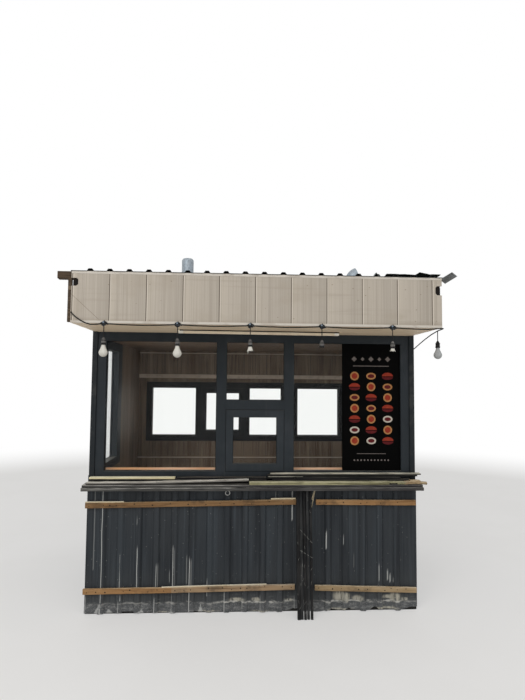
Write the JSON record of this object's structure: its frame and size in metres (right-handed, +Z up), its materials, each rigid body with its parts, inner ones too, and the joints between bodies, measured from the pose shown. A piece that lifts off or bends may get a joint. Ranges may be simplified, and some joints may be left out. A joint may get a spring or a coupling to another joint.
{
  "type": "street kiosk",
  "caption": "Street food kiosk: glazed front over a low profiled-sheet wall, counter, and deep canopy with a panelled fascia and hanging lamps.",
  "frame": {"origin": "on the ground at the centre of the walls' footprint, at the centre of the base frame's underside", "axes": "+Z up, -Y towards the customer at the serving front, +X to the right of someone who looks at the front"},
  "size_m": [2.8003, 2.4921, 2.9006],
  "materials": {
    "anthracite_sheet": "matt, dusty",
    "wall_core": "matt",
    "frame_profile": "satin",
    "steel_frame": "matt",
    "window_glass": "clear",
    "menu_panel": null,
    "lining_board": "wood-look board",
    "floor_board": "worn",
    "raw_timber": "raw, knotty",
    "roof_timber": "raw, aged",
    "counter_board": "dark, weathered",
    "dark_board": "dark, weathered",
    "grey_board": "grey, weathered",
    "pale_board": "pale, painted edge",
    "window_board": "warm varnish",
    "black_slat": "matt, dusty",
    "fascia_panel": "matt, dusty",
    "white_trim": "satin",
    "soffit_board": "matt, dusty",
    "dark_roof_sheet": "matt, dusty",
    "galvanised": "galvanised, dull",
    "door_metal": "brushed",
    "cable_rubber": "matt",
    "lamp_socket": "matt",
    "bulb_white": "white diffuser",
    "ring_metal": "white, chipped"
  },
  "bodies": {
    "root": {"base_frame": "steel_frame", "floor_deck": "floor_board", "corner_posts": "steel_frame", "front_wall": "wall_core", "left_wall": "wall_core", "right_wall": "wall_core", "back_wall": "wall_core", "wall_linings": "lining_board", "front_sheets": "anthracite_sheet", "left_sheets": "anthracite_sheet", "right_sheets": "anthracite_sheet", "back_sheet": "anthracite_sheet", "wall_battens": "raw_timber", "slat_bundle": "black_slat", "counter_boards": "counter_board", "dark_boards": "dark_board", "grey_boards": "grey_board", "pale_boards": "pale_board", "hanging_ring": "ring_metal", "front_window_frame": "frame_profile", "hatch_sash": "frame_profile", "front_glass": "window_glass", "menu_board": "menu_panel", "inner_sill": "window_board", "side_window_frames": "frame_profile", "side_window_glass": "window_glass", "back_window_frames": "frame_profile", "back_glass": "window_glass", "door_frame": "frame_profile", "door_leaf": "frame_profile", "door_glass": "window_glass", "door_handle": "door_metal", "ceiling": "lining_board", "soffit": "soffit_board", "roof_rafters": "roof_timber", "roof_uprights": "roof_timber", "purlins": "roof_timber", "roof_end_timbers": "roof_timber", "roof_sheet": "dark_roof_sheet", "fascia": "fascia_panel", "roof_sides": "fascia_panel", "fascia_trims": "white_trim", "roof_vents": "galvanised", "loose_roof_sheet": "dark_roof_sheet", "verge_flashing": "galvanised", "light_cable": "cable_rubber", "lamp_holders": "lamp_socket", "bulbs": "bulb_white"}
  },
  "joints": []
}
